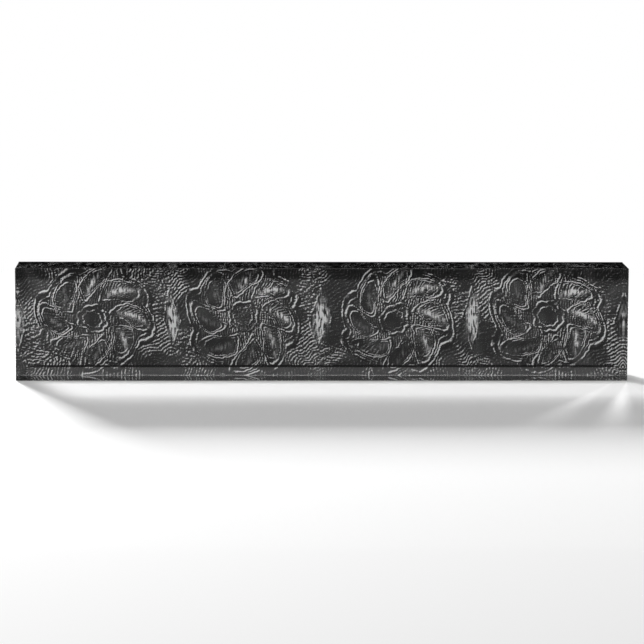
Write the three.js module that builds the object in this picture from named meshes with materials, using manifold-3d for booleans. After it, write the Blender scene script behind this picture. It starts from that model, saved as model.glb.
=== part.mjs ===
// Desk name plate: a thick clear acrylic block that stands on its lower face. Its four back edges
// carry a wide polished bevel, and a printed film is laid over the back and folded on to the bevels,
// so that the pattern is seen through the block and fills it out to the edges. An opaque backing
// sheet closes the film's flat. Nothing on it moves: the pieces are bonded face to face.
//
// Millimetres. +Z is up, +X runs along the plate to the reader's right, and the front faces -Y.
// The origin is at the middle of the whole object's footprint, on the surface that it stands on.

import * as THREE from "three";
import { mergeVertices } from "three/addons/utils/BufferGeometryUtils.js";
import Module from "manifold-3d";

// Driving dimensions.
const PLATE_LENGTH = 270;
const PLATE_HEIGHT = 50;
const BLOCK_DEPTH = 28;
const BACK_BEVEL = 4; // leg of the 45 degree bevel on the four back edges
const EASED_EDGE = 0.25; // leg of the small flat left on every other edge by polishing
const ADHESIVE_THICKNESS = 0.125;
const FILM_THICKNESS = 0.25;
const FOOT_MARGIN = 0.125; // the film stops this far above the lower face, clear of the desk
const BACKING_THICKNESS = 0.625;
const BACKING_INSET = 1.5; // from the folds of the film to the edge of the backing sheet
const BACKING_CORNER_RADIUS = 3;
const CORNER_SEGMENTS = 8;

const BONDED_DEPTH = ADHESIVE_THICKNESS + FILM_THICKNESS;
const TOTAL_DEPTH = BLOCK_DEPTH + BONDED_DEPTH + BACKING_THICKNESS;
const FRONT_Y = -TOTAL_DEPTH / 2;
const BLOCK_BACK_Y = FRONT_Y + BLOCK_DEPTH;
const HALF_LENGTH = PLATE_LENGTH / 2;

// Every cutter runs past the block by this much on each side.
const OVERRUN = 5;

// Corners lie on a grid this fine, so that bonded faces share them to the last digit.
const GRID = 1 / 64;

const wasm = await Module();
wasm.setup();

// A closed mesh becomes a solid that can be joined and cut.
function toSolid(geometry) {
  geometry.deleteAttribute("normal");
  geometry.deleteAttribute("uv");
  const merged = mergeVertices(geometry);
  return new wasm.Manifold(new wasm.Mesh({
    numProp: 3,
    vertProperties: new Float32Array(merged.attributes.position.array),
    triVerts: new Uint32Array(merged.index.array),
  }));
}

function snap(value) {
  return Math.round(value / GRID) * GRID;
}

function toGeometry(solid) {
  const mesh = solid.getMesh();
  const geometry = new THREE.BufferGeometry();
  geometry.setAttribute("position", new THREE.BufferAttribute(mesh.vertProperties, mesh.numProp));
  geometry.setIndex(new THREE.BufferAttribute(mesh.triVerts, 1));
  const flat = geometry.toNonIndexed();
  flat.computeVertexNormals();
  return flat;
}

// Rectangle whose corners are cut at 45 degrees. The cuts are legs, low corners first:
// (u0, v0), (u1, v0), (u1, v1), (u0, v1).
function cutRectangle(u0, u1, v0, v1, cuts) {
  const [left, right, low, high] = [u0, u1, v0, v1].map(snap);
  const legs = cuts.map(snap);
  const shape = new THREE.Shape();
  shape.moveTo(left + legs[0], low);
  shape.lineTo(right - legs[1], low);
  shape.lineTo(right, low + legs[1]);
  shape.lineTo(right, high - legs[2]);
  shape.lineTo(right - legs[2], high);
  shape.lineTo(left + legs[3], high);
  shape.lineTo(left, high - legs[3]);
  shape.lineTo(left, low + legs[0]);
  return shape;
}

function roundedRectangle(u0, u1, v0, v1, radius) {
  const shape = new THREE.Shape();
  shape.absarc(u0 + radius, v0 + radius, radius, Math.PI, 1.5 * Math.PI);
  shape.absarc(u1 - radius, v0 + radius, radius, 1.5 * Math.PI, 2 * Math.PI);
  shape.absarc(u1 - radius, v1 - radius, radius, 0, 0.5 * Math.PI);
  shape.absarc(u0 + radius, v1 - radius, radius, 0.5 * Math.PI, Math.PI);
  return shape;
}

// An outline is drawn in the plane square to the axis that it is then drawn out along:
// side view (Y, Z) along X, front view (Z, X) along Y, plan (X, Y) along Z.
const FRAMES = {
  x: new THREE.Matrix4().makeBasis(new THREE.Vector3(0, 1, 0), new THREE.Vector3(0, 0, 1),
    new THREE.Vector3(1, 0, 0)),
  y: new THREE.Matrix4().makeBasis(new THREE.Vector3(0, 0, 1), new THREE.Vector3(1, 0, 0),
    new THREE.Vector3(0, 1, 0)),
  z: new THREE.Matrix4(),
};

function drawOut(shape, axis, from, to) {
  const geometry = new THREE.ExtrudeGeometry(shape, {
    depth: to - from,
    bevelEnabled: false,
    curveSegments: CORNER_SEGMENTS,
  });
  geometry.translate(0, 0, from);
  geometry.applyMatrix4(FRAMES[axis]);
  return geometry;
}

// The block, grown at its back and bevels by a skin of even thickness. Moving a 45 degree face out
// by the same amount as the flat beside it shortens the bevel's leg.
function blockGrownBy(skin) {
  const backY = BLOCK_BACK_Y + skin;
  const bevel = BACK_BEVEL - skin * (Math.SQRT2 - 1);
  const sideView = cutRectangle(FRONT_Y, backY, 0, PLATE_HEIGHT, [EASED_EDGE, bevel, bevel, EASED_EDGE]);
  const plan = cutRectangle(-HALF_LENGTH, HALF_LENGTH, FRONT_Y, backY,
    [EASED_EDGE, EASED_EDGE, bevel, bevel]);
  const frontView = cutRectangle(0, PLATE_HEIGHT, -HALF_LENGTH, HALF_LENGTH,
    [EASED_EDGE, EASED_EDGE, EASED_EDGE, EASED_EDGE]);
  const alongX = toSolid(drawOut(sideView, "x", -HALF_LENGTH - OVERRUN, HALF_LENGTH + OVERRUN));
  const alongZ = toSolid(drawOut(plan, "z", -OVERRUN, PLATE_HEIGHT + OVERRUN));
  const alongY = toSolid(drawOut(frontView, "y", FRONT_Y - OVERRUN, backY + OVERRUN));
  return alongX.intersect(alongZ).intersect(alongY);
}

// A layer that lies on the back and the bevels between two skins, trimmed above the desk.
function foldedLayer(innerSkin, outerSkin) {
  const trim = cutRectangle(FRONT_Y - OVERRUN, BLOCK_BACK_Y + OVERRUN, -OVERRUN, FOOT_MARGIN,
    [0, 0, 0, 0]);
  const foot = toSolid(drawOut(trim, "x", -HALF_LENGTH - OVERRUN, HALF_LENGTH + OVERRUN));
  return blockGrownBy(outerSkin).subtract(blockGrownBy(innerSkin)).subtract(foot);
}

function acrylicBlock() {
  return toGeometry(blockGrownBy(0));
}

function adhesiveLayer() {
  return toGeometry(foldedLayer(0, ADHESIVE_THICKNESS));
}

function printedFilm() {
  return toGeometry(foldedLayer(ADHESIVE_THICKNESS, BONDED_DEPTH));
}

// The sheet lies inside the folds of the film, on its flat back.
function backingSheet() {
  const margin = BACK_BEVEL + BACKING_INSET;
  const outline = roundedRectangle(margin, PLATE_HEIGHT - margin, -HALF_LENGTH + margin,
    HALF_LENGTH - margin, BACKING_CORNER_RADIUS);
  const seatY = snap(BLOCK_BACK_Y + BONDED_DEPTH);
  return drawOut(outline, "y", seatY, seatY + snap(BACKING_THICKNESS));
}

const clearAcrylic = new THREE.MeshStandardMaterial({
  color: 0xeef3f2,
  roughness: 0.02,
  metalness: 0,
  transparent: true,
  opacity: 0.35,
});
const clearAdhesive = new THREE.MeshStandardMaterial({
  color: 0xf2f2ee,
  roughness: 0.2,
  metalness: 0,
  transparent: true,
  opacity: 0.3,
});
const printedVinyl = new THREE.MeshStandardMaterial({ color: 0x3a3a3a, roughness: 0.35, metalness: 0 });
const blackSheet = new THREE.MeshStandardMaterial({ color: 0x161616, roughness: 0.6, metalness: 0 });

function piece(name, geometry, material) {
  const mesh = new THREE.Mesh(geometry, material);
  mesh.name = name;
  return mesh;
}

const namePlate = new THREE.Group();
namePlate.add(piece("acrylic_block", acrylicBlock(), clearAcrylic));
namePlate.add(piece("adhesive_layer", adhesiveLayer(), clearAdhesive));
namePlate.add(piece("printed_film", printedFilm(), printedVinyl));
namePlate.add(piece("backing_sheet", backingSheet(), blackSheet));

export default namePlate;
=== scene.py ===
import math

import bpy
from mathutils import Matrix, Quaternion, Vector


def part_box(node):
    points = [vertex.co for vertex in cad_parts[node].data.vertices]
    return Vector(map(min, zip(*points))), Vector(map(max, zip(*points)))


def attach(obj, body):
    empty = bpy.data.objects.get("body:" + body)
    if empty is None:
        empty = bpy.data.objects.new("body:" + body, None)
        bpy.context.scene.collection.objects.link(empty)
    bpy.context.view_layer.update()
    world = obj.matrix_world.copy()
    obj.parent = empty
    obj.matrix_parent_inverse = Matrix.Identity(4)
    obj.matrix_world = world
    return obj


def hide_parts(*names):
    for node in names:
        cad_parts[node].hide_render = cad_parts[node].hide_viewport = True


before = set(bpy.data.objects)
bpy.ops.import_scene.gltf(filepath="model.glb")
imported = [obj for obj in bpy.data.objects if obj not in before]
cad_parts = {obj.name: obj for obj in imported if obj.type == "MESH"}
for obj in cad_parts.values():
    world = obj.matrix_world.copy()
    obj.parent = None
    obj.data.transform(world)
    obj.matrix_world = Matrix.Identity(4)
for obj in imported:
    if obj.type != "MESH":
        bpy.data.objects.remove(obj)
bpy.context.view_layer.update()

# Camera. The plate is photographed with a long lens from about a metre and a half away, a little
# above the desk and a touch to the plate's left, so that the top face shows as a thin strip.
CAMERA_DISTANCE = 1.45
CAMERA_ELEVATION = math.radians(7.6)
CAMERA_YAW = math.radians(-1.5)
CAMERA_ROLL = math.radians(0.22)
AIM = Vector((0.00018, 0.0, 0.02422))
PLATE_ON_PICTURE = 606.8 / 644  # share of the picture's width that the plate fills at that distance
out_from_aim = Vector((
    math.sin(CAMERA_YAW) * math.cos(CAMERA_ELEVATION),
    -math.cos(CAMERA_YAW) * math.cos(CAMERA_ELEVATION),
    math.sin(CAMERA_ELEVATION),
))
plate_low, plate_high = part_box("acrylic_block")
bpy.ops.object.camera_add(
    location=AIM + out_from_aim * CAMERA_DISTANCE,
    rotation=((-out_from_aim).to_track_quat("-Z", "Y")
              @ Quaternion((0, 0, 1), CAMERA_ROLL)).to_euler(),
)
camera = bpy.context.object
camera.data.sensor_width = 36
camera.data.lens = 36 * PLATE_ON_PICTURE * CAMERA_DISTANCE / (plate_high.x - plate_low.x)
camera.data.clip_start = 0.01
bpy.context.scene.camera = camera

# Clear block. One piece of cast acrylic, sawn, its four back edges milled to a wide bevel and every
# face polished. It stands on its lower face. It bends what is behind it, and its top and ends
# mirror the pattern from inside.


def linear(hex_colour):
    """An sRGB hex colour as the linear RGBA that a shader takes."""
    channels = [int(hex_colour[i:i + 2], 16) / 255 for i in (0, 2, 4)]
    return [c / 12.92 if c <= 0.04045 else ((c + 0.055) / 1.055) ** 2.4 for c in channels] + [1.0]


def add_node(tree, kind, sockets=None, **settings):
    """Adds a node with its settings, and fills its inputs with values or links."""
    made = tree.nodes.new(kind)
    for name, value in settings.items():
        setattr(made, name, value)
    for key, value in (sockets or {}).items():
        if isinstance(value, bpy.types.Node):
            value = value.outputs[0]
        if isinstance(value, bpy.types.NodeSocket):
            tree.links.new(value, made.inputs[key])
        else:
            made.inputs[key].default_value = value
    return made


acrylic = bpy.data.materials.new("clear_cast_acrylic_polished")
acrylic.use_nodes = True
tree = acrylic.node_tree
tree.nodes.clear()
place = add_node(tree, "ShaderNodeTexCoord")
# Polishing leaves a swell a few millimetres across, only a few hundredths of a degree steep.
swell = add_node(tree, "ShaderNodeTexNoise", {"Vector": place.outputs["Object"], "Scale": 120.0,
                                              "Detail": 1.0})
polish = add_node(tree, "ShaderNodeBump", {"Height": swell.outputs["Fac"], "Strength": 0.02,
                                           "Distance": 0.0005})
# The acrylic holds back a little light, which shows where one looks right through it. Seen at a
# grazing angle, as the top is, a polished face lets little through, and its colour is painted darker,
# a painted shade in streaks that run from front to back, about two millimetres wide and ten long.
glancing = add_node(tree, "ShaderNodeLayerWeight", {"Blend": 0.5})
shade_streaks = add_node(tree, "ShaderNodeVectorMath", {0: place.outputs["Object"],
                                                 1: (420.0, 100.0, 420.0)}, operation="MULTIPLY")
shade_streaks = add_node(tree, "ShaderNodeTexNoise", {"Vector": shade_streaks, "Scale": 1.0, "Detail": 3.0})
shade_streaks = add_node(tree, "ShaderNodeMapRange", {"Value": shade_streaks, "From Min": 0.4, "From Max": 0.7,
                                               "To Min": 0.0, "To Max": 0.55},
                  interpolation_type="SMOOTHSTEP")
grazing_shade = add_node(tree, "ShaderNodeMapRange", {"Value": glancing.outputs["Facing"],
                                               "From Min": 0.6, "From Max": 0.85, "To Min": 0.85,
                                               "To Max": shade_streaks})
# The lowest 2 mm mirror the print in the lower face, and are painted darker there, a painted shade.
# Above them a light line runs along the foot; in front of the mitred corners painted shade covers it.
MIRROR_TOP = 0.0019
LINE_TOP = 0.0026
MITRE_REACH = 0.0065  # from an end of the block to where the mitre meets the line
BLEND = 0.0003  # each band runs into the next over this height
point = add_node(tree, "ShaderNodeSeparateXYZ", {"Vector": place.outputs["Object"]})
foot_shade = add_node(tree, "ShaderNodeMapRange", {
    "Value": point.outputs["Z"], "From Min": MIRROR_TOP, "From Max": MIRROR_TOP + BLEND,
    "To Min": 0.35, "To Max": 1.0})
outward = add_node(tree, "ShaderNodeMath", {0: point.outputs["X"]}, operation="ABSOLUTE")
corner = add_node(tree, "ShaderNodeMapRange", {
    "Value": outward, "From Min": plate_high.x - MITRE_REACH,
    "From Max": plate_high.x - MITRE_REACH + 0.0007})
above_line = add_node(tree, "ShaderNodeMapRange", {
    "Value": point.outputs["Z"], "From Min": LINE_TOP, "From Max": LINE_TOP + BLEND,
    "To Min": 0.45, "To Max": 1.0})
corner_shade = add_node(tree, "ShaderNodeMapRange", {"Value": corner, "To Min": 1.0,
                                                "To Max": above_line})
# The eased upper edges, which slope at 45 degrees, are painted nearly black, a painted shade.
EASED_LEG = 0.00025
facing = add_node(tree, "ShaderNodeNewGeometry")
axes = add_node(tree, "ShaderNodeSeparateXYZ", {"Vector": facing.outputs["True Normal"]})
lying = add_node(tree, "ShaderNodeMath", {0: axes.outputs["Z"]}, operation="ABSOLUTE")
eased = add_node(tree, "ShaderNodeMapRange", {"Value": lying, "From Min": 0.75, "From Max": 0.95,
                                              "To Min": 0.08, "To Max": 1.0})
eased_edge_shade = add_node(tree, "ShaderNodeMapRange", {
    "Value": point.outputs["Z"], "From Min": plate_high.z - EASED_LEG - 0.00005,
    "From Max": plate_high.z - EASED_LEG, "To Min": 1.0, "To Max": eased})
tint = grazing_shade
for part in (foot_shade, eased_edge_shade, corner_shade):
    tint = add_node(tree, "ShaderNodeMath", {0: tint, 1: part}, operation="MULTIPLY")
# The specular tint holds its reflections back, because this pale room has more to mirror than a
# photographer's dark studio.
clear = add_node(tree, "ShaderNodeBsdfPrincipled", {
    "Base Color": tint,
    "Roughness": 0.0,
    "IOR": 1.49,
    "Transmission Weight": 1.0,
    "Specular Tint": (0.4, 0.4, 0.4, 1.0),
    "Normal": polish.outputs["Normal"],
})
# Lamp light from behind goes through the lower third of the block and out on to the desk in front,
# less in the lowest 3 mm. A little comes out at an end, more towards the back, and hardly any of what
# goes in at an end gets through. The rest is turned aside inside, and leaves a band of shade. A ray
# towards a lamp meets the face where light comes out from outside, then that where it goes in from
# inside.
CLEAR_UP_TO = 0.0138  # and from 6 mm above that nearly all of the light is held back
squareness = add_node(tree, "ShaderNodeMath", {0: axes.outputs["Y"]}, operation="ABSOLUTE")
sidewise = add_node(tree, "ShaderNodeMath", {0: axes.outputs["X"]}, operation="ABSOLUTE")
clear_part = add_node(tree, "ShaderNodeMapRange", {
    "Value": point.outputs["Z"], "From Min": CLEAR_UP_TO, "From Max": CLEAR_UP_TO + 0.006,
    "To Min": 0.59, "To Max": 0.01}, interpolation_type="SMOOTHSTEP")
foot = add_node(tree, "ShaderNodeMapRange", {"Value": point.outputs["Z"], "From Min": 0.0002,
                                             "From Max": 0.0034})
front_pass = add_node(tree, "ShaderNodeMath", {0: clear_part, 1: foot}, operation="MULTIPLY")
end_pass = add_node(tree, "ShaderNodeMapRange", {
    "Value": point.outputs["Y"], "From Min": -0.002, "From Max": 0.006, "To Min": 0.05,
    "To Max": 0.35})
coming_out = add_node(tree, "ShaderNodeMapRange", {
    "Value": squareness, "From Min": 0.5, "From Max": 0.95, "To Min": end_pass,
    "To Max": front_pass})
going_in = add_node(tree, "ShaderNodeMapRange", {
    "Value": sidewise, "From Min": 0.5, "From Max": 0.95, "To Min": 1.0, "To Max": 0.03})
passing = add_node(tree, "ShaderNodeMapRange", {
    "Value": facing.outputs["Backfacing"], "To Min": coming_out, "To Max": going_in})
lamp_light = add_node(tree, "ShaderNodeBsdfTransparent", {"Color": passing})
path = add_node(tree, "ShaderNodeLightPath")
through = add_node(tree, "ShaderNodeMixShader", {0: path.outputs["Is Shadow Ray"], 1: clear,
                                                 2: lamp_light})
add_node(tree, "ShaderNodeOutputMaterial", {"Surface": through})
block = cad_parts["acrylic_block"]
block.data.materials.clear()
block.data.materials.append(acrylic)
# Light that bounces off the desk isn't held up by the clear block.
block.visible_diffuse = False

# Printed film with its clear adhesive. Thin plastic film, printed and then laid on the block's back
# without air, and folded forward over the bevels. It is seen through the block.
film_low, film_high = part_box("printed_film")
CONTACT = 0.00003  # the print lies this far inside the block's skin, where no air is left between
FOLD_LEG = 0.004  # leg of the block's bevels, over which the film is folded
FOLD_RADIUS = 0.0004
film_front = plate_high.y - CONTACT
plate_long = plate_high.x - plate_low.x
plate_tall = plate_high.z - plate_low.z
mid_height = (plate_low.z + plate_high.z) / 2
bpy.ops.object.select_all(action="DESELECT")
bpy.ops.mesh.primitive_plane_add(size=1, location=(0, film_front, mid_height),
                                 rotation=(math.radians(90), 0, 0))
film = bpy.context.object
film.name = "printed_film_folded"
printed = bpy.data.materials.new("printed_polyester_film")
flood = bpy.data.materials.new("black_ink_flood_coat")
film.data.materials.append(printed)
film.data.materials.append(flood)
film.scale = (plate_long - 2 * FOLD_LEG, plate_tall - 2 * FOLD_LEG, 1)
bpy.ops.object.transform_apply(location=True, rotation=True, scale=True)
bpy.ops.object.mode_set(mode="EDIT")
bpy.ops.mesh.select_all(action="SELECT")
# Its rim is drawn forward and outward by the leg of the bevels, which gives the four slopes.
bpy.ops.mesh.region_to_loop()
bpy.ops.mesh.extrude_region_move(TRANSFORM_OT_translate={"value": (0, -FOLD_LEG + CONTACT, 0)})
bpy.ops.transform.resize(
    value=(plate_long / (plate_long - 2 * FOLD_LEG), 1, plate_tall / (plate_tall - 2 * FOLD_LEG)),
    center_override=(0, film_front - FOLD_LEG, mid_height),
)
bpy.ops.object.mode_set(mode="OBJECT")
fold = film.modifiers.new("fold", "BEVEL")
fold.width = FOLD_RADIUS
fold.segments = 3
fold.limit_method = "ANGLE"
bpy.ops.object.modifier_apply(modifier="fold")
wall = film.modifiers.new("wall", "SOLIDIFY")
wall.thickness = film_high.y - film_front
wall.offset = -1
wall.use_even_offset = True
# The film's back and its cut edges take the second material, the flood coat.
wall.material_offset = 1
wall.material_offset_rim = 1
bpy.ops.object.modifier_apply(modifier="wall")
# Its edges are trimmed to the film's box in the CAD, so that it ends clear of the desk.
bpy.ops.object.mode_set(mode="EDIT")
for edge, outward in (
    ((0, 0, film_low.z), (0, 0, -1)), ((0, 0, film_high.z), (0, 0, 1)),
    ((film_low.x, 0, 0), (-1, 0, 0)), ((film_high.x, 0, 0), (1, 0, 0)),
):
    bpy.ops.mesh.select_all(action="SELECT")
    bpy.ops.mesh.bisect(plane_co=edge, plane_no=outward, clear_outer=True, use_fill=True,
                        threshold=1e-6)
bpy.ops.object.mode_set(mode="OBJECT")

# The print's drawing, in millimetres. Four whirling rosettes of eight leaves stand in a row with a
# lozenge between each two, on a hammered ground with wavy lines, as on chased metal.
ROSETTE_PITCH = 67.5
DRAWING_MIDDLE = plate_tall * 1000 / 2
LEAF_MIDDLE = 16.0  # from the middle of a rosette to that of a leaf
LEAF_HALF_LENGTH = 8.2
LOZENGE_HALF_WIDTH = 4.4
LOZENGE_HALF_HEIGHT = 12.0
# A chased line is a soft bead: flat over its middle third, then down to nothing at its half width.
ink_line = bpy.data.node_groups.new("chased_line", "ShaderNodeTree")
for name in ("Distance", "Width", "Rise"):
    ink_line.interface.new_socket(name, in_out="INPUT", socket_type="NodeSocketFloat")
ink_line.interface.new_socket("Height", in_out="OUTPUT", socket_type="NodeSocketFloat")
given = add_node(ink_line, "NodeGroupInput")
away = add_node(ink_line, "ShaderNodeMath", {0: given.outputs["Distance"]}, operation="ABSOLUTE")
crown = add_node(ink_line, "ShaderNodeMath", {0: given.outputs["Width"], 1: 0.3},
                 operation="MULTIPLY")
bead = add_node(ink_line, "ShaderNodeMapRange", {
    "Value": away, "From Min": crown, "From Max": given.outputs["Width"],
    "To Min": given.outputs["Rise"], "To Max": 0.0}, interpolation_type="SMOOTHSTEP")
add_node(ink_line, "NodeGroupOutput", {"Height": bead})

relief = bpy.data.node_groups.new("whirling_rosette_relief", "ShaderNodeTree")
relief.interface.new_socket("Place", in_out="INPUT", socket_type="NodeSocketVector")
relief.interface.new_socket("Height", in_out="OUTPUT", socket_type="NodeSocketFloat")
relief.interface.new_socket("Glint", in_out="OUTPUT", socket_type="NodeSocketFloat")
given = add_node(relief, "NodeGroupInput")
# A hand that wanders by a few millimetres and trembles by a few tenths.
wander = add_node(relief, "ShaderNodeTexNoise", {"Vector": given, "Scale": 0.03, "Detail": 1.0},
                  noise_dimensions="2D")
tremble = add_node(relief, "ShaderNodeTexNoise", {"Vector": given, "Scale": 0.5, "Detail": 1.0,
                                                  "Lacunarity": 3.1}, noise_dimensions="2D")
drawn = add_node(relief, "ShaderNodeVectorMath", {
    0: wander.outputs["Color"], 1: (7.2, 6.4, 0.0), 2: given.outputs["Place"]},
    operation="MULTIPLY_ADD")
drawn = add_node(relief, "ShaderNodeVectorMath", {
    0: tremble.outputs["Color"], 1: (1.2, 1.2, 0.0), 2: drawn}, operation="MULTIPLY_ADD")
# Half of both reaches comes off again, so that the drawing stays in the middle.
drawn = add_node(relief, "ShaderNodeVectorMath", {0: drawn, 1: (4.2, 3.8, 0.0)},
                 operation="SUBTRACT")
along = add_node(relief, "ShaderNodeSeparateXYZ", {"Vector": drawn})
# Across and up from the middle of a rosette, and its radius and angle with the leaves' twist. The
# cosine of four times that angle peaks, up or down, in the middle of each of the eight leaves, and
# the rosette's outlines bulge there by a seventh.
step = add_node(relief, "ShaderNodeMath", {0: along.outputs["X"], 1: ROSETTE_PITCH / 2},
                operation="SUBTRACT")
across = add_node(relief, "ShaderNodeMath", {0: step, 1: ROSETTE_PITCH / 2, 2: -ROSETTE_PITCH / 2},
                  operation="WRAP")
up = add_node(relief, "ShaderNodeMath", {0: along.outputs["Y"], 1: DRAWING_MIDDLE},
              operation="SUBTRACT")
arm = add_node(relief, "ShaderNodeCombineXYZ", {"X": across, "Y": up})
radius = add_node(relief, "ShaderNodeVectorMath", {0: arm}, operation="LENGTH").outputs["Value"]
angle = add_node(relief, "ShaderNodeMath", {0: up, 1: across}, operation="ARCTAN2")
angle = add_node(relief, "ShaderNodeMath", {0: radius, 1: 0.042, 2: angle},
                 operation="MULTIPLY_ADD")
turn = add_node(relief, "ShaderNodeMath", {0: angle, 1: 4.0}, operation="MULTIPLY")
leaves = add_node(relief, "ShaderNodeMath", {0: turn}, operation="COSINE")
leaves = add_node(relief, "ShaderNodeMath", {0: leaves}, operation="ABSOLUTE")
scallop = add_node(relief, "ShaderNodeMath", {0: leaves, 1: -0.14, 2: 1.14},
                   operation="MULTIPLY_ADD")
rim = add_node(relief, "ShaderNodeMath", {0: radius, 1: scallop}, operation="MULTIPLY")
outside = add_node(relief, "ShaderNodeMapRange", {"Value": rim, "From Min": 26.6, "From Max": 27.6},
                   interpolation_type="SMOOTHSTEP")
# Inside a leaf this is above zero.
swelling = add_node(relief, "ShaderNodeMath", {0: leaves, 1: 0.8}, operation="POWER")
length = add_node(relief, "ShaderNodeMath", {0: radius, 1: LEAF_MIDDLE}, operation="SUBTRACT")
length = add_node(relief, "ShaderNodeMath", {0: length}, operation="ABSOLUTE")
leaf = add_node(relief, "ShaderNodeMath", {0: swelling, 1: LEAF_HALF_LENGTH}, operation="MULTIPLY")
leaf = add_node(relief, "ShaderNodeMath", {0: leaf, 1: length}, operation="SUBTRACT")
# The lozenge between two rosettes, above zero inside it.
between = add_node(relief, "ShaderNodeMath", {0: along.outputs["X"], 1: ROSETTE_PITCH / 2,
                                              2: -ROSETTE_PITCH / 2}, operation="WRAP")
side = add_node(relief, "ShaderNodeMath", {0: between}, operation="ABSOLUTE")
tall = add_node(relief, "ShaderNodeMath", {0: up}, operation="ABSOLUTE")
lozenge = add_node(relief, "ShaderNodeMath", {0: side, 1: -1 / LOZENGE_HALF_WIDTH, 2: 1.0},
                   operation="MULTIPLY_ADD")
lozenge = add_node(relief, "ShaderNodeMath", {0: tall, 1: -1 / LOZENGE_HALF_HEIGHT, 2: lozenge},
                   operation="MULTIPLY_ADD")
off_lozenge = add_node(relief, "ShaderNodeMath", {0: lozenge, 1: 0.0}, operation="LESS_THAN")
# Wavy lines, 1.6 mm apart, spread from a half flower on the plate's edge, above and below each
# lozenge.
from_edge = add_node(relief, "ShaderNodeMath", {0: DRAWING_MIDDLE, 1: tall}, operation="SUBTRACT")
reach = add_node(relief, "ShaderNodeCombineXYZ", {"X": between, "Y": from_edge})
wave = add_node(relief, "ShaderNodeVectorMath", {0: reach}, operation="LENGTH").outputs["Value"]
bend = add_node(relief, "ShaderNodeMath", {0: from_edge, 1: between}, operation="ARCTAN2")
bend = add_node(relief, "ShaderNodeMath", {0: bend, 1: 6.0}, operation="MULTIPLY")
bend = add_node(relief, "ShaderNodeMath", {0: bend}, operation="COSINE")
wave = add_node(relief, "ShaderNodeMath", {0: bend, 1: 1.3, 2: wave}, operation="MULTIPLY_ADD")
wave = add_node(relief, "ShaderNodeMath", {0: wave, 1: 0.8}, operation="PINGPONG")
# Patches about two centimetres across are worked less, and stay smooth and dark.
patches = add_node(relief, "ShaderNodeTexNoise", {"Vector": given, "Scale": 0.05, "Detail": 1.0},
                   noise_dimensions="2D")
worked = add_node(relief, "ShaderNodeMapRange", {
    "Value": patches, "From Min": 0.42, "From Max": 0.54, "To Min": 0.3, "To Max": 1.0},
    interpolation_type="SMOOTHSTEP")
half_worked = add_node(relief, "ShaderNodeMath", {0: worked, 1: 0.7, 2: 0.3},
                       operation="MULTIPLY_ADD")
# Two rings round each rosette, two round its eye, two round each leaf and one round each lozenge:
# what is drawn round, how far out the line runs, its half width and its height.
height = None
for source, middle, width, rise in (
    (rim, 26.0, 1.0, 1.6), (rim, 23.9, 0.5, 0.8), (rim, 6.6, 0.85, 1.6), (rim, 4.2, 0.5, 0.9),
    (leaf, 0.9, 0.85, 1.6), (leaf, 2.9, 0.45, 0.8), (lozenge, 0.0, 0.15, 1.0),
):
    gap = add_node(relief, "ShaderNodeMath", {0: source, 1: middle}, operation="SUBTRACT")
    bead = add_node(relief, "ShaderNodeGroup", {"Distance": gap, "Width": width, "Rise": rise},
                    node_tree=ink_line)
    height = bead if height is None else add_node(
        relief, "ShaderNodeMath", {0: height, 1: bead}, operation="MAXIMUM")
# The chased lines fade in and out along their length.
fade = add_node(relief, "ShaderNodeTexNoise", {"Vector": given, "Scale": 0.16, "Detail": 1.0},
                noise_dimensions="2D")
fade = add_node(relief, "ShaderNodeMapRange", {"Value": fade, "From Min": 0.36, "From Max": 0.62,
                                               "To Min": 0.3, "To Max": 1.5})
height = add_node(relief, "ShaderNodeMath", {0: height, 1: fade}, operation="MULTIPLY")
ground = add_node(relief, "ShaderNodeMath", {0: outside, 1: worked}, operation="MULTIPLY")
ground = add_node(relief, "ShaderNodeMath", {0: ground, 1: off_lozenge}, operation="MULTIPLY")
ground_rise = add_node(relief, "ShaderNodeMath", {0: ground, 1: 0.83}, operation="MULTIPLY")
bead = add_node(relief, "ShaderNodeGroup", {"Distance": wave, "Width": 0.5, "Rise": ground_rise},
                node_tree=ink_line)
height = add_node(relief, "ShaderNodeMath", {0: height, 1: bead}, operation="MAXIMUM")
# Upright ribs, a millimetre apart and 0.75 high, fill the rosette between its leaves.
off_leaf = add_node(relief, "ShaderNodeMapRange", {"Value": leaf, "From Min": 0.2, "From Max": -0.6},
                    interpolation_type="SMOOTHSTEP")
past_eye = add_node(relief, "ShaderNodeMapRange", {"Value": rim, "From Min": 7.4, "From Max": 8.2},
                    interpolation_type="SMOOTHSTEP")
within = add_node(relief, "ShaderNodeMapRange", {"Value": rim, "From Min": 23.2, "From Max": 22.4},
                  interpolation_type="SMOOTHSTEP")
ribbed = off_leaf
for part in (past_eye, within, half_worked, 0.75):
    ribbed = add_node(relief, "ShaderNodeMath", {0: ribbed, 1: part}, operation="MULTIPLY")
rib = add_node(relief, "ShaderNodeMath", {0: along.outputs["X"], 1: 0.525}, operation="PINGPONG")
bead = add_node(relief, "ShaderNodeGroup", {"Distance": rib, "Width": 0.45, "Rise": ribbed},
                node_tree=ink_line)
height = add_node(relief, "ShaderNodeMath", {0: height, 1: bead}, operation="MAXIMUM")
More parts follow.
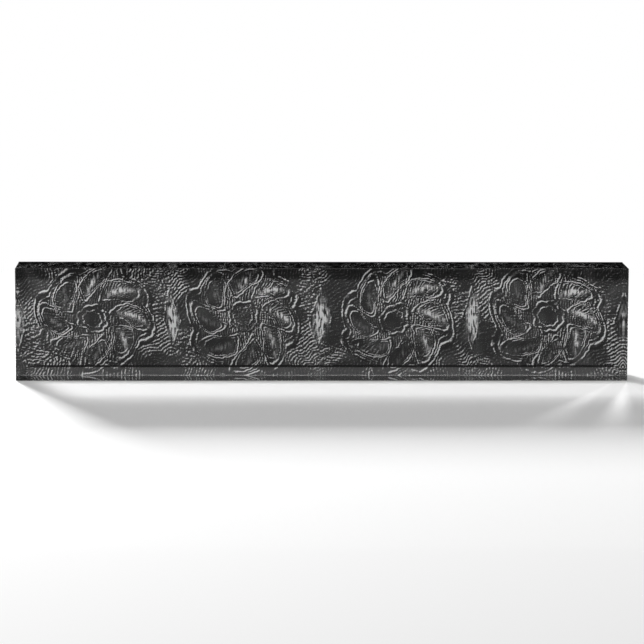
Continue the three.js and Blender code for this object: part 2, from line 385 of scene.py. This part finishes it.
# The leaves on the right of each rosette are the bright ones. They are veined, with veins 1.2 mm
# apart that slant off the spine.
lit = add_node(relief, "ShaderNodeMath", {0: angle, 1: 1.2}, operation="SUBTRACT")
lit = add_node(relief, "ShaderNodeMath", {0: lit}, operation="COSINE")
lit = add_node(relief, "ShaderNodeMapRange", {"Value": lit, "From Min": -0.3, "From Max": 0.9,
                                              "To Min": 0.12, "To Max": 1.0})
spread = add_node(relief, "ShaderNodeMath", {0: turn}, operation="SINE")
spread = add_node(relief, "ShaderNodeMath", {0: spread, 1: radius}, operation="MULTIPLY")
spread = add_node(relief, "ShaderNodeMath", {0: spread}, operation="ABSOLUTE")
vein = add_node(relief, "ShaderNodeMath", {0: spread, 1: -0.3, 2: radius}, operation="MULTIPLY_ADD")
vein = add_node(relief, "ShaderNodeMath", {0: vein, 1: 0.6}, operation="PINGPONG")
in_leaf = add_node(relief, "ShaderNodeMapRange", {"Value": leaf, "From Min": 3.0, "From Max": 4.0,
                                                  "To Min": 0.0, "To Max": 0.6})
in_leaf = add_node(relief, "ShaderNodeMath", {0: in_leaf, 1: lit}, operation="MULTIPLY")
bead = add_node(relief, "ShaderNodeGroup", {"Distance": vein, "Width": 0.4, "Rise": in_leaf},
                node_tree=ink_line)
height = add_node(relief, "ShaderNodeMath", {0: height, 1: bead}, operation="MAXIMUM")
# Fine grooves fan out from the middle of each rosette, over it and over the ground round it, among
# hammer marks about a millimetre across.
ray = add_node(relief, "ShaderNodeVectorMath", {0: arm}, operation="NORMALIZE")
out_along = add_node(relief, "ShaderNodeMath", {0: radius, 1: 0.17}, operation="MULTIPLY")
out_along = add_node(relief, "ShaderNodeCombineXYZ", {"Z": out_along})
ray = add_node(relief, "ShaderNodeVectorMath", {0: ray, 1: (24.0, 24.0, 0.0), 2: out_along},
               operation="MULTIPLY_ADD")
groove = add_node(relief, "ShaderNodeTexNoise", {"Vector": ray, "Scale": 1.0, "Detail": 2.0})
groove = add_node(relief, "ShaderNodeMath", {0: groove, 1: 0.5}, operation="SUBTRACT")
hammering = add_node(relief, "ShaderNodeTexNoise", {"Vector": given, "Scale": 1.1, "Detail": 2.0},
                     noise_dimensions="2D")
hammering = add_node(relief, "ShaderNodeMath", {0: hammering, 1: 0.5}, operation="SUBTRACT")
groove = add_node(relief, "ShaderNodeMath", {0: hammering, 1: 0.6, 2: groove},
                  operation="MULTIPLY_ADD")
force = add_node(relief, "ShaderNodeMapRange", {"Value": outside, "To Min": 2.0, "To Max": 3.4})
force = add_node(relief, "ShaderNodeMath", {0: force, 1: worked}, operation="MULTIPLY")
height = add_node(relief, "ShaderNodeMath", {0: groove, 1: force, 2: height},
                  operation="MULTIPLY_ADD")
# Polished spots are soft ovals: the spine of each bright leaf, and the middle of each lozenge. Each
# has its distance aside with its half width, and its distance lengthwise with its half length.
ovals = []
for spans in (((spread, 4.4), (length, 4.0)), ((side, 1.8), (tall, 5.5))):
    squares = []
    for distance, half in spans:
        part = add_node(relief, "ShaderNodeMath", {0: distance, 1: half}, operation="DIVIDE")
        squares.append(add_node(relief, "ShaderNodeMath", {0: part, 1: 2.0}, operation="POWER"))
    oval = add_node(relief, "ShaderNodeMath", {0: squares[0], 1: squares[1]}, operation="ADD")
    oval = add_node(relief, "ShaderNodeMath", {0: oval, 1: -1.0}, operation="MULTIPLY")
    ovals.append(add_node(relief, "ShaderNodeMath", {0: oval}, operation="EXPONENT"))
spine, gem = ovals
polished = add_node(relief, "ShaderNodeMath", {0: spine, 1: lit}, operation="MULTIPLY")
# The half lozenges at the plate's two ends stay dull.
outward = add_node(relief, "ShaderNodeMath", {0: along.outputs["X"]}, operation="ABSOLUTE")
full = add_node(relief, "ShaderNodeMapRange", {"Value": outward, "From Min": 118.0,
                                               "From Max": 126.0, "To Min": 1.0, "To Max": 0.3})
gem = add_node(relief, "ShaderNodeMath", {0: gem, 1: full}, operation="MULTIPLY")
polished = add_node(relief, "ShaderNodeMath", {0: gem, 1: 2.1, 2: polished},
                    operation="MULTIPLY_ADD")
# Upright brushing, strokes about a millimetre wide and three long, breaks them up.
brushing = add_node(relief, "ShaderNodeVectorMath", {0: given.outputs["Place"],
                                                     1: (1.2, 0.3, 0.0)}, operation="MULTIPLY")
brushing = add_node(relief, "ShaderNodeTexNoise", {"Vector": brushing, "Scale": 1.0,
                                                   "Detail": 0.0}, noise_dimensions="2D")
brushing = add_node(relief, "ShaderNodeMapRange", {"Value": brushing, "From Min": 0.32,
                                                   "From Max": 0.7, "To Min": 0.0, "To Max": 1.6})
glint = add_node(relief, "ShaderNodeMath", {0: polished, 1: brushing}, operation="MULTIPLY")
# The worked ground is a little lighter than the smooth one.
glint = add_node(relief, "ShaderNodeMath", {0: ground, 1: 0.02, 2: glint},
                 operation="MULTIPLY_ADD")
add_node(relief, "NodeGroupOutput", {"Height": height, "Glint": glint})

printed.use_nodes = True
tree = printed.node_tree
tree.nodes.clear()
place = add_node(tree, "ShaderNodeTexCoord")
where = add_node(tree, "ShaderNodeSeparateXYZ", {"Vector": place.outputs["Object"]})
# The print is drawn as seen from the front, on the flat and the bevels alike.
flat_place = add_node(tree, "ShaderNodeCombineXYZ", {"X": where.outputs["X"],
                                                     "Y": where.outputs["Z"]})
in_mm = add_node(tree, "ShaderNodeVectorMath", {0: flat_place, "Scale": 1000.0},
                 operation="SCALE")
# The print shows its relief as lit from the upper left: silver where it rises from the upper left
# to the lower right, within about half a millimetre, and black where it falls.
upper = add_node(tree, "ShaderNodeVectorMath", {0: in_mm, 1: (-0.2, 0.2, 0.0)}, operation="ADD")
lower = add_node(tree, "ShaderNodeVectorMath", {0: in_mm, 1: (0.2, -0.2, 0.0)}, operation="ADD")
upper_relief = add_node(tree, "ShaderNodeGroup", {"Place": upper}, node_tree=relief)
lower_relief = add_node(tree, "ShaderNodeGroup", {"Place": lower}, node_tree=relief)
# Only the steep slopes shine: the power keeps the soft ones dark.
slope = add_node(tree, "ShaderNodeMath", {0: lower_relief.outputs["Height"],
                                          1: upper_relief.outputs["Height"]},
                 operation="SUBTRACT")
bright = add_node(tree, "ShaderNodeMath", {0: slope, 1: 0.0}, operation="MAXIMUM")
bright = add_node(tree, "ShaderNodeMath", {0: bright, 1: 2.5}, operation="POWER")
silver = add_node(tree, "ShaderNodeMath", {0: bright, 1: 1.4,
                                           2: upper_relief.outputs["Glint"]},
                  operation="MULTIPLY_ADD")
dark = add_node(tree, "ShaderNodeMath", {0: slope, 1: 0.0}, operation="MINIMUM")
silver = add_node(tree, "ShaderNodeMath", {0: dark, 1: 0.03, 2: silver}, operation="MULTIPLY_ADD")
# Faint clouds about a centimetre across, and the half millimetre grain of the silver.
cloud = add_node(tree, "ShaderNodeTexNoise", {"Vector": in_mm, "Scale": 0.09, "Detail": 1.0},
                 noise_dimensions="2D")
cloud = add_node(tree, "ShaderNodeMapRange", {"Value": cloud, "From Min": 0.47, "From Max": 0.7,
                                              "To Min": 0.0, "To Max": 0.035})
silver = add_node(tree, "ShaderNodeMath", {0: silver, 1: cloud}, operation="ADD")
grain = add_node(tree, "ShaderNodeTexNoise", {"Vector": in_mm, "Scale": 1.6, "Detail": 1.0},
                 noise_dimensions="2D")
grain = add_node(tree, "ShaderNodeMapRange", {"Value": grain, "From Min": 0.25, "From Max": 0.75,
                                              "To Min": 0.58, "To Max": 1.55})
silver = add_node(tree, "ShaderNodeMath", {0: silver, 1: grain}, operation="MULTIPLY")
# The print is darker in its top 7 mm, a painted shade, and lighter towards its foot, a painted light,
# and towards its ends. The lower bevel is painted lighter and more even, up to the mitres, and its
# fold shows as a thin line of painted shade.
high_up = add_node(tree, "ShaderNodeMapRange", {
    "Value": where.outputs["Z"], "From Min": plate_high.z - 0.0075,
    "From Max": plate_high.z - 0.0062})
# Painted shade over the top 7 mm.
top_shade = add_node(tree, "ShaderNodeMath", {0: high_up, 1: -0.38, 2: 1.0},
                      operation="MULTIPLY_ADD")
outward = add_node(tree, "ShaderNodeMath", {0: where.outputs["X"]}, operation="ABSOLUTE")
fold_height = plate_low.z + FOLD_LEG
fold_reach = plate_high.x - FOLD_LEG
below_fold = add_node(tree, "ShaderNodeMapRange", {
    "Value": where.outputs["Z"], "From Min": fold_height + 0.0002,
    "From Max": fold_height - 0.0002})
inside_mitre = add_node(tree, "ShaderNodeMapRange", {
    "Value": outward, "From Min": fold_reach + 0.0003, "From Max": fold_reach - 0.0003})
on_bevel = add_node(tree, "ShaderNodeMath", {0: below_fold, 1: inside_mitre},
                    operation="MULTIPLY")
softened = add_node(tree, "ShaderNodeMapRange", {"Value": on_bevel, "To Min": 1.0,
                                                 "To Max": 0.45})
# Painted light towards the foot.
foot_light = add_node(tree, "ShaderNodeMapRange", {
    "Value": where.outputs["Z"], "From Min": 0.024, "From Max": 0.008, "To Min": 0.0,
    "To Max": 0.015})
# Painted light on the lower bevel.
bevel_light = add_node(tree, "ShaderNodeMath", {0: on_bevel, 1: 0.068}, operation="MULTIPLY")
end_part = add_node(tree, "ShaderNodeMapRange", {
    "Value": outward, "From Min": 0.1, "From Max": 0.12, "To Min": 1.0, "To Max": 1.4})
for part in (top_shade, softened, end_part):
    silver = add_node(tree, "ShaderNodeMath", {0: silver, 1: part}, operation="MULTIPLY")
for added_light in (foot_light, bevel_light):
    silver = add_node(tree, "ShaderNodeMath", {0: silver, 1: added_light}, operation="ADD",
                      use_clamp=True)
shade = add_node(tree, "ShaderNodeMix", {"Factor": silver, "A": linear("303030"),
                                         "B": linear("fafafa")}, data_type="RGBA")
# Painted shade: a thin dark line along the lower fold, and a little more over the top.
crease_shade = add_node(tree, "ShaderNodeMath", {0: where.outputs["Z"], 1: fold_height - 0.0002},
                  operation="SUBTRACT")
crease_shade = add_node(tree, "ShaderNodeMath", {0: crease_shade}, operation="ABSOLUTE")
crease_shade = add_node(tree, "ShaderNodeMapRange", {"Value": crease_shade, "From Min": 0.0004,
                                               "From Max": 0.0006, "To Min": 0.95, "To Max": 0.0})
crease_shade = add_node(tree, "ShaderNodeMath", {0: crease_shade, 1: inside_mitre}, operation="MULTIPLY")
near_top = add_node(tree, "ShaderNodeMath", {0: high_up, 1: 0.25}, operation="MULTIPLY")
darker = add_node(tree, "ShaderNodeMath", {0: crease_shade, 1: near_top}, operation="MAXIMUM")
shade = add_node(tree, "ShaderNodeMix", {"Factor": darker, "A": shade.outputs["Result"],
                                         "B": linear("050505")}, data_type="RGBA")
ink = add_node(tree, "ShaderNodeBsdfPrincipled", {"Base Color": shade.outputs["Result"],
                                                  "Roughness": 0.6, "Specular IOR Level": 0.0})
add_node(tree, "ShaderNodeOutputMaterial", {"Surface": ink})
# Behind the print, a flood coat of black ink that has dried to a slight orange peel, and is a little
# glossier in patches where it was wiped.
flood.use_nodes = True
tree = flood.node_tree
tree.nodes.clear()
place = add_node(tree, "ShaderNodeTexCoord")
peel = add_node(tree, "ShaderNodeTexNoise", {"Vector": place.outputs["Object"], "Scale": 900.0,
                                             "Detail": 2.0})
peel_bump = add_node(tree, "ShaderNodeBump", {"Height": peel, "Strength": 0.25,
                                              "Distance": 0.00005})
handled = add_node(tree, "ShaderNodeTexNoise", {"Vector": place.outputs["Object"], "Scale": 60.0,
                                                "Detail": 3.0})
wiped = add_node(tree, "ShaderNodeMapRange", {"Value": handled, "From Min": 0.35, "From Max": 0.7,
                                              "To Min": 0.3, "To Max": 0.42})
coat = add_node(tree, "ShaderNodeBsdfPrincipled", {
    "Base Color": linear("161617"), "Roughness": wiped, "Normal": peel_bump})
add_node(tree, "ShaderNodeOutputMaterial", {"Surface": coat})
# The block's rule for lamp light counts the film and the backing in, so they cast no shadow.
film.visible_shadow = False
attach(film, "root")
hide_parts("printed_film", "adhesive_layer")

# Backing sheet. Black satin plastic sheet with a fine grain, cut with round corners and stuck on
# the film's flat back.
backing_material = bpy.data.materials.new("black_satin_polypropylene")
backing_material.use_nodes = True
tree = backing_material.node_tree
tree.nodes.clear()
place = add_node(tree, "ShaderNodeTexCoord")
# Pressed grain of pits about 0.4 mm apart, and long faint waves from the roll.
pits = add_node(tree, "ShaderNodeTexVoronoi", {"Vector": place.outputs["Object"], "Scale": 2400.0,
                                               "Randomness": 0.9}, feature="SMOOTH_F1")
roll = add_node(tree, "ShaderNodeVectorMath", {0: place.outputs["Object"], 1: (6.0, 40.0, 60.0)},
                operation="MULTIPLY")
waves = add_node(tree, "ShaderNodeTexNoise", {"Vector": roll, "Scale": 1.0, "Detail": 2.0})
grained = add_node(tree, "ShaderNodeMath", {0: waves, 1: 2.5, 2: pits.outputs["Distance"]},
                   operation="MULTIPLY_ADD")
grain_bump = add_node(tree, "ShaderNodeBump", {"Height": grained, "Strength": 0.5,
                                               "Distance": 0.00006})
# Handling has polished it in soft patches a few centimetres across.
rubbed = add_node(tree, "ShaderNodeTexNoise", {"Vector": place.outputs["Object"], "Scale": 35.0,
                                               "Detail": 4.0})
gloss = add_node(tree, "ShaderNodeMapRange", {"Value": rubbed, "From Min": 0.35, "From Max": 0.65,
                                              "To Min": 0.42, "To Max": 0.6})
tone = add_node(tree, "ShaderNodeMix", {"Factor": rubbed, "A": linear("121213"),
                                        "B": linear("222224")}, data_type="RGBA")
satin = add_node(tree, "ShaderNodeBsdfPrincipled", {
    "Base Color": tone.outputs["Result"], "Roughness": gloss, "Normal": grain_bump})
add_node(tree, "ShaderNodeOutputMaterial", {"Surface": satin})
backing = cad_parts["backing_sheet"]
backing.data.materials.clear()
backing.data.materials.append(backing_material)
backing.visible_shadow = False

# Studio table. Matt white paper that lies flat under the plate. Behind the plate it runs out to a
# plain white ground.
TABLE_SIZE = 30  # so wide that its edge is never seen
FLOOR_DROP = 0.0001  # the polished base never quite touches it
bpy.ops.object.select_all(action="DESELECT")
bpy.ops.mesh.primitive_plane_add(size=TABLE_SIZE, location=(0, 0, plate_low.z - FLOOR_DROP))
table = bpy.context.object
table.name = "studio_table"
white = bpy.data.materials.new("white_sweep_paper")
white.use_nodes = True
tree = white.node_tree
tree.nodes.clear()
place = add_node(tree, "ShaderNodeTexCoord")
where = add_node(tree, "ShaderNodeSeparateXYZ", {"Vector": place.outputs["Object"]})
beyond = add_node(tree, "ShaderNodeMapRange", {"Value": where.outputs["Y"], "From Min": 0.1,
                                               "From Max": 0.4}, interpolation_type="SMOOTHSTEP")
# Pale streaks of light that the block's right end throws on the paper. They fan out from the front
# lower corner, come up over the first 6 cm and are gone at 16 cm.
before = add_node(tree, "ShaderNodeMath", {0: plate_low.y, 1: where.outputs["Y"]},
                  operation="SUBTRACT")
beside = add_node(tree, "ShaderNodeMath", {0: where.outputs["X"], 1: plate_high.x},
                  operation="SUBTRACT")
on_paper = add_node(tree, "ShaderNodeMath", {0: before, 1: 0.0}, operation="GREATER_THAN")
gaining = add_node(tree, "ShaderNodeMapRange", {"Value": before, "From Min": 0.03,
                                                "From Max": 0.06, "To Min": 0.25, "To Max": 1.0})
fading = add_node(tree, "ShaderNodeMapRange", {"Value": before, "From Min": 0.05,
                                               "From Max": 0.16, "To Min": 1.0, "To Max": 0.0})
fading = add_node(tree, "ShaderNodeMath", {0: fading, 1: 1.6}, operation="POWER")
# Each streak has its root to the right of the corner, its lean to the right and its half width, both
# for each metre forward, and its strength.
thrown = None
for root, lean, width, strength in (
    (0.0, -0.165, 0.1, 0.42), (-0.0053, -0.37, 0.12, 0.22), (0.0, 0.05, 0.04, 0.06),
):
    off = add_node(tree, "ShaderNodeMath", {0: beside, 1: root}, operation="SUBTRACT")
    off = add_node(tree, "ShaderNodeMath", {0: off, 1: before}, operation="DIVIDE")
    off = add_node(tree, "ShaderNodeMath", {0: off, 1: lean}, operation="SUBTRACT")
    off = add_node(tree, "ShaderNodeMath", {0: off}, operation="ABSOLUTE")
    streak = add_node(tree, "ShaderNodeMapRange", {
        "Value": off, "From Max": width, "To Min": strength, "To Max": 0.0},
        interpolation_type="SMOOTHSTEP")
    thrown = streak if thrown is None else add_node(
        tree, "ShaderNodeMath", {0: thrown, 1: streak}, operation="MAXIMUM")
for change in (gaining, fading, on_paper):
    thrown = add_node(tree, "ShaderNodeMath", {0: thrown, 1: change}, operation="MULTIPLY")
paper = add_node(tree, "ShaderNodeBsdfPrincipled", {
    "Base Color": linear("f2f2f2"), "Roughness": 0.9, "Emission Color": linear("ffffff"),
    "Emission Strength": thrown})
# What is seen of the paper behind the plate is plain white, and it lights the plate as paper.
path = add_node(tree, "ShaderNodeLightPath")
seen = add_node(tree, "ShaderNodeMath", {0: path.outputs["Is Camera Ray"],
                                         1: path.outputs["Is Glossy Ray"]}, operation="MAXIMUM")
seen = add_node(tree, "ShaderNodeMath", {0: seen, 1: path.outputs["Is Transmission Ray"]},
                operation="MAXIMUM")
share = add_node(tree, "ShaderNodeMath", {0: seen, 1: beyond}, operation="MULTIPLY")
ground = add_node(tree, "ShaderNodeEmission", {"Color": linear("ffffff"), "Strength": 1.0})
sweep = add_node(tree, "ShaderNodeMixShader", {0: share, 1: paper, 2: ground})
add_node(tree, "ShaderNodeOutputMaterial", {"Surface": sweep})
table.data.materials.append(white)

# Studio light. A soft key low behind the plate to its left, a broad soft light overhead and a pale
# room. Two black cards, one far behind and one lying in front, show only in reflections and keep the
# polished top and front dark.
bpy.context.scene.world = bpy.data.worlds.new("pale_room")
bpy.context.scene.world.use_nodes = True
tree = bpy.context.scene.world.node_tree
tree.nodes.clear()
# The room is seen as white, and lights the plate less than that.
path = add_node(tree, "ShaderNodeLightPath")
seen = add_node(tree, "ShaderNodeMath", {0: path.outputs["Is Camera Ray"],
                                         1: path.outputs["Is Transmission Ray"]},
                operation="MAXIMUM")
level = add_node(tree, "ShaderNodeMapRange", {"Value": seen, "To Min": 0.3, "To Max": 1.0})
room = add_node(tree, "ShaderNodeBackground", {"Color": linear("ffffff"), "Strength": level})
add_node(tree, "ShaderNodeOutputWorld", {"Surface": room})

lamp_aim = Vector((0, 0, 0.02))
for name, stand, size, watts in (
    ("key_behind_left", (-0.715, 1.77, 0.615), 0.35, 88),
    ("overhead", (-0.2, -0.5, 1.6), 1.2, 7),
):
    bpy.ops.object.light_add(
        type="AREA", location=stand,
        rotation=(lamp_aim - Vector(stand)).to_track_quat("-Z", "Y").to_euler())
    lamp = bpy.context.object
    lamp.name = name
    lamp.data.size = size
    lamp.data.energy = watts

black = bpy.data.materials.new("black_card_paper")
black.use_nodes = True
tree = black.node_tree
tree.nodes.clear()
matt = add_node(tree, "ShaderNodeBsdfPrincipled", {"Base Color": linear("0a0a0a"), "Roughness": 1.0,
                                                   "Specular IOR Level": 0.0})
add_node(tree, "ShaderNodeOutputMaterial", {"Surface": matt})
for name, stand, tilt, size in (
    ("card_behind", (0, 2.2, 0.55), 90, (3, 0.7)),
    ("card_before", (0, -0.783, 0.0005), 0, (1.6, 0.8)),
):
    bpy.ops.object.select_all(action="DESELECT")
    bpy.ops.mesh.primitive_plane_add(size=1, location=stand, rotation=(math.radians(tilt), 0, 0))
    card = bpy.context.object
    card.name = name
    card.scale = (*size, 1)
    bpy.ops.object.transform_apply(location=True, rotation=True, scale=True)
    card.data.materials.append(black)
    card.visible_camera = False
    card.visible_diffuse = False
    card.visible_transmission = False
    card.visible_shadow = False

bpy.context.scene.view_settings.view_transform = "Standard"
